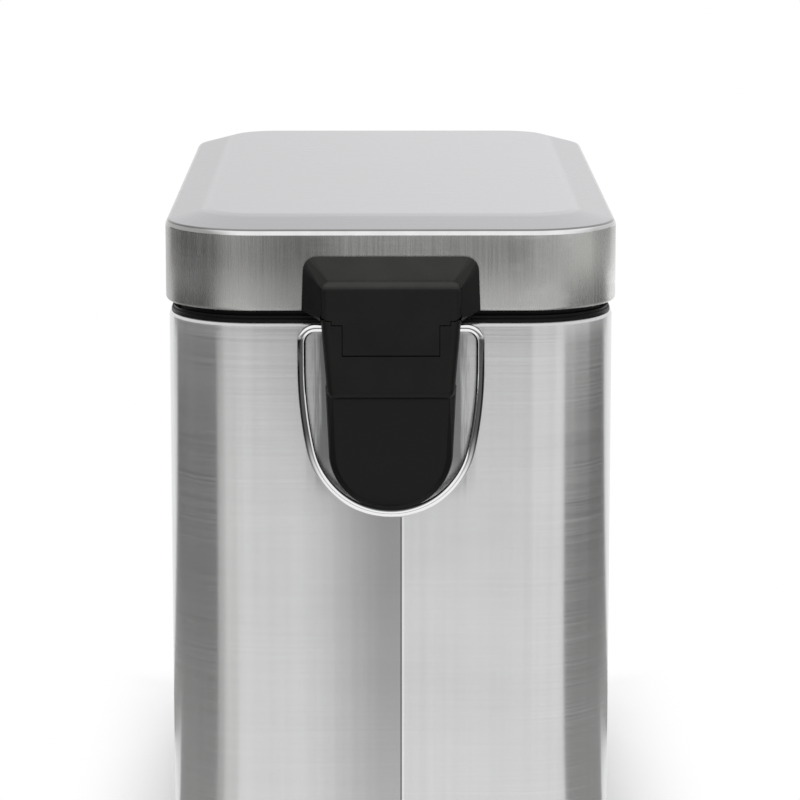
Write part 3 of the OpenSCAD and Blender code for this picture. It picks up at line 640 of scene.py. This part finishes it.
def make_lid():
    plan = plan_points(LID_W, LID_D, LID_R)
    outer = lid_section(0)
    inner = list(reversed(lid_section(SHEET)))
    bm = bmesh.new()
    rings = plan_rings(bm, plan, outer + inner, no_dip)
    top = len(outer) - 1
    for index, (lower, upper) in enumerate(zip(rings, rings[1:] + rings[:1])):
        if index != top:
            join_rings(bm, lower, upper)
    bm.faces.new(rings[top])
    bm.faces.new(list(reversed(rings[top + 1])))
    piece = mesh_object("steel_lid", bm)
    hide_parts("lid_shell")
    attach(piece, "lid")
    return piece


def wire_path(half, top, bottom):
    """Middle line of the carry handle from one ear round the loop to the other, as x and height."""
    bend, leg, bow = WIRE_BEND_R, WIRE_LEG_R, math.radians(WIRE_BOW)
    loop = (half - leg * (1 - math.cos(bow))) / math.cos(bow)
    loop_z = bottom + loop
    leg_z = loop_z - loop * math.sin(bow) + leg * math.sin(bow)
    side = [(WIRE_END, top)]
    side += arc((half - bend, top - bend), bend, 90, 0, 12)
    side += arc((half - leg, leg_z), leg, 0, -WIRE_BOW, 16)
    side += arc((0, loop_z), loop, -WIRE_BOW, -90, 36)[1:]
    return side + [(-x, z) for x, z in reversed(side[:-1])]


def make_wire():
    """One unbroken bent wire in the carry handle's place."""
    low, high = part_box("carry_handle")
    radius = (high.y - low.y) / 2
    middle = (high.y + low.y) / 2
    path = wire_path(high.x - radius, high.z - radius, low.z + radius)
    bm = bmesh.new()
    rings = []
    for i, (x, z) in enumerate(path):
        before, after = path[max(i - 1, 0)], path[min(i + 1, len(path) - 1)]
        along = Vector((after[0] - before[0], 0, after[1] - before[1])).normalized()
        across = Vector((along.z, 0, -along.x))
        ring = []
        for k in range(WIRE_SIDES):
            a = 2 * math.pi * k / WIRE_SIDES
            away = math.cos(a) * across + math.sin(a) * Vector((0, 1, 0))
            ring.append(bm.verts.new(Vector((x, middle, z)) + radius * away))
        rings.append(ring)
    for here, there in zip(rings, rings[1:]):
        join_rings(bm, here, there)
    bm.faces.new(rings[0])
    bm.faces.new(list(reversed(rings[-1])))
    piece = mesh_object("bent_wire", bm)
    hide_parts("carry_handle")
    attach(piece, "handle")
    return piece


# Room, light and camera

def light_path_share(tree):
    """1 for the rays that see the backdrop itself: camera, glossy and transmission rays."""
    path = tree.nodes.new("ShaderNodeLightPath")
    first = tree.nodes.new("ShaderNodeMath")
    first.operation = "MAXIMUM"
    tree.links.new(path.outputs["Is Camera Ray"], first.inputs[0])
    tree.links.new(path.outputs["Is Glossy Ray"], first.inputs[1])
    second = tree.nodes.new("ShaderNodeMath")
    second.operation = "MAXIMUM"
    tree.links.new(first.outputs[0], second.inputs[0])
    tree.links.new(path.outputs["Is Transmission Ray"], second.inputs[1])
    return second.outputs[0]


def make_world():
    world = bpy.data.worlds.new("studio")
    bpy.context.scene.world = world
    world.use_nodes = True
    tree = world.node_tree
    light = tree.nodes["Background"]
    light.inputs["Color"].default_value = (1, 1, 1, 1)
    light.inputs["Strength"].default_value = 0.72
    seen = tree.nodes.new("ShaderNodeBackground")
    seen.inputs["Color"].default_value = (1, 1, 1, 1)
    seen.inputs["Strength"].default_value = 1.0
    mix = tree.nodes.new("ShaderNodeMixShader")
    tree.links.new(light_path_share(tree), mix.inputs[0])
    tree.links.new(light.outputs[0], mix.inputs[1])
    tree.links.new(seen.outputs[0], mix.inputs[2])
    tree.links.new(mix.outputs[0], tree.nodes["World Output"].inputs["Surface"])


def make_floor():
    """Plain white floor that keeps the bin's shadow and turns to plain white further out."""
    bm = bmesh.new()
    bmesh.ops.create_circle(bm, cap_ends=True, segments=64, radius=30)
    floor = mesh_object("floor", bm)
    floor.location.z = -0.2 * MM
    material = bpy.data.materials.new("floor_white")
    material.use_nodes = True
    tree = material.node_tree
    shader = tree.nodes["Principled BSDF"]
    shader.inputs["Base Color"].default_value = (0.93, 0.93, 0.93, 1)
    shader.inputs["Roughness"].default_value = 0.9
    shader.inputs["Specular IOR Level"].default_value = 0.1
    glow = tree.nodes.new("ShaderNodeEmission")
    glow.inputs["Color"].default_value = (1, 1, 1, 1)
    x, y, z = place_xyz(material)
    beside_x = math_of(material, "SUBTRACT", absolute(material, x), BODY_W / 2)
    beside_y = math_of(material, "SUBTRACT", absolute(material, y), BODY_D / 2)
    beside = math_of(material, "MAXIMUM", beside_x, beside_y)
    far = span(material, beside, 0.0, FLOOR_FADE, 0.0, 1.0, smooth=True)
    share = math_of(material, "MULTIPLY", far, light_path_share(tree))
    mix = tree.nodes.new("ShaderNodeMixShader")
    tree.links.new(share, mix.inputs[0])
    tree.links.new(shader.outputs[0], mix.inputs[1])
    tree.links.new(glow.outputs[0], mix.inputs[2])
    tree.links.new(mix.outputs[0], tree.nodes["Material Output"].inputs["Surface"])
    floor.data.materials.append(material)


def softbox(name, place, target, size, power):
    lamp = bpy.data.lights.new(name, "AREA")
    lamp.shape = "RECTANGLE"
    lamp.size, lamp.size_y = size
    lamp.energy = power
    box = bpy.data.objects.new(name, lamp)
    box.location = place
    box.rotation_mode = "QUATERNION"
    box.rotation_quaternion = (Vector(target) - Vector(place)).to_track_quat("-Z", "Y")
    box.visible_glossy = False
    bpy.context.scene.collection.objects.link(box)
    return box


def make_lights():
    softbox("softbox_left", (1.6, 1.5, 1.5), (0, 0, 0.15), (1.2, 1.2), 16)
    softbox("softbox_right", (-1.6, 1.5, 1.5), (0, 0, 0.15), (1.2, 1.2), 16)
    softbox("softbox_front", (0, -2.0, 1.8), (0, 0, 0.15), (1.6, 1.2), 18)


def card_look(piece, near, far):
    """Plain grey, seen in reflections only. Its level changes with the distance from the bin."""
    material = bpy.data.materials.new(piece.name)
    material.use_nodes = True
    tree = material.node_tree
    tree.nodes.remove(tree.nodes["Principled BSDF"])
    glow = tree.nodes.new("ShaderNodeEmission")
    glow.inputs["Color"].default_value = (1, 1, 0.98, 1)
    length = node(material, "ShaderNodeVectorMath", operation="LENGTH")
    link(material, object_place(material), length.inputs[0])
    link(material, span(material, length.outputs["Value"], 0.3, 1.3, near, far), glow.inputs["Strength"])
    link(material, glow.outputs[0], tree.nodes["Material Output"].inputs["Surface"])
    piece.data.materials.append(material)
    piece.visible_camera = False
    piece.visible_diffuse = False
    piece.visible_shadow = False
    piece.visible_transmission = False


def arc_card(name, centre, start, end, inner, outer, near, far):
    """A grey card on an arc, from one (radius, height) to another. Angles run from +Y to +X."""
    bm = bmesh.new()
    steps = 16
    columns = []
    for k in range(steps + 1):
        a = math.radians(start + (end - start) * k / steps)
        ends = [(centre[0] + r * math.sin(a), centre[1] + r * math.cos(a), z) for r, z in (inner, outer)]
        columns.append([bm.verts.new(end) for end in ends])
    for left, right in zip(columns, columns[1:]):
        bm.faces.new((left[0], right[0], right[1], left[1]))
    card_look(mesh_object(name, bm), near, far)


def make_cards():
    """The studio's dark sides: cards on the floor beside the body's corners and a ring of low cards."""
    at_x, at_y = CARD_CENTRE
    for side, side_name in ((1, "left"), (-1, "right")):
        for end, end_name, start, stop in ((1, "back", 54, 125), (-1, "front", 62, 118)):
            name = "floor_card_%s_%s" % (side_name, end_name)
            centre = (side * at_x, end * at_y)
            arc_card(name, centre, side * start, side * stop, CARD_INNER, CARD_OUTER, 0.36, 0.04)
    arc_card("floor_card_far", (0, 0), -66, -116, (1.3, CARD_Z), (LOW_RING - 0.01, 0.04), 0.08, 0.08)
    arc_card("floor_card_edge", CARD_CENTRE, 44, 54, CARD_INNER, CARD_OUTER, 0.56, 0.8)
    arc_card("floor_card_fade", CARD_CENTRE, 26, 44, CARD_INNER, CARD_OUTER, 0.8, 0.97)
    levels = [
        (-132, -88, 0.5),
        (-88, -40, 0.85),
        (-40, -12, 0.62),
        (-12, 8, 0.24),
        (8, 44, 0.38),
        (44, 104, 0.08),
        (104, 132, 0.22),
    ]
    for index, (start, end, level) in enumerate(levels):
        name = "low_card_%d" % index
        arc_card(name, (0, 0), start, end, (LOW_RING, LOW_Z[0]), (LOW_RING, LOW_Z[1]), level, level)


def make_camera():
    down, yaw = math.radians(CAMERA_DOWN), math.radians(CAMERA_YAW)
    data = bpy.data.cameras.new("camera")
    data.lens = LENS
    data.sensor_width = 36
    data.clip_end = 200
    camera = bpy.data.objects.new("camera", data)
    bpy.context.scene.collection.objects.link(camera)
    camera.location = CAMERA_AT
    look = Vector((-math.sin(yaw) * math.cos(down), -math.cos(yaw) * math.cos(down), -math.sin(down)))
    camera.rotation_mode = "QUATERNION"
    camera.rotation_quaternion = look.to_track_quat("-Z", "Y")
    bpy.context.scene.camera = camera


make_camera()
make_world()
make_floor()
make_lights()
make_cards()
bpy.context.scene.view_settings.view_transform = "Standard"

dress([make_body()], body_steel())
dress_lid(make_lid())
dress([make_wire()], chrome("chrome_wire_look", shaded=True))
dress(["bucket_handle"], chrome("bail_wire_look", (0.78, 0.78, 0.8)))
dress(["backing_plate", "striker"], zinc("zinc_look", (0.55, 0.55, 0.54)))
dress(
    ["housing_screws", "latch_case_screws", "lid_bracket_screws", "striker_screws"],
    zinc("screw_look", (0.5, 0.5, 0.5), 0.35),
)
# Nearly black pin, so no glint shows in the gap between the bracket's tongue and the ears
dress(["hinge_pin"], zinc("dark_pin_look", (0.03, 0.03, 0.03), 0.45))
dress(["latch_pin"], zinc("pin_look", (0.58, 0.58, 0.6), 0.22))
dress(["lid_spring", "latch_spring"], zinc("spring_look", (0.35, 0.35, 0.36), 0.32))
dress(["hinge_housing", "lid_bracket"], hinge_plastic())
dress(["top_collar", "bucket_ring"], plastic("collar_look", 0.003, 0.005, 0.3, 0.42, gloss=0.12))
dress(["base_tray"], plastic("base_look", 0.014, 0.02, 0.45, 0.6))
dress(["latch_case", "latch_hook"], plastic("latch_look", 0.02, 0.028, 0.4, 0.5))
dress(["lid_liner"], plastic("liner_look", 0.014, 0.02, 0.45, 0.6))
dress(["inner_bucket", "bucket_grip"], plastic("bucket_look", 0.028, 0.038, 0.4, 0.55))
dress(["base_feet", "lid_bumpers"], plastic("rubber_look", 0.012, 0.02, 0.7, 0.85))
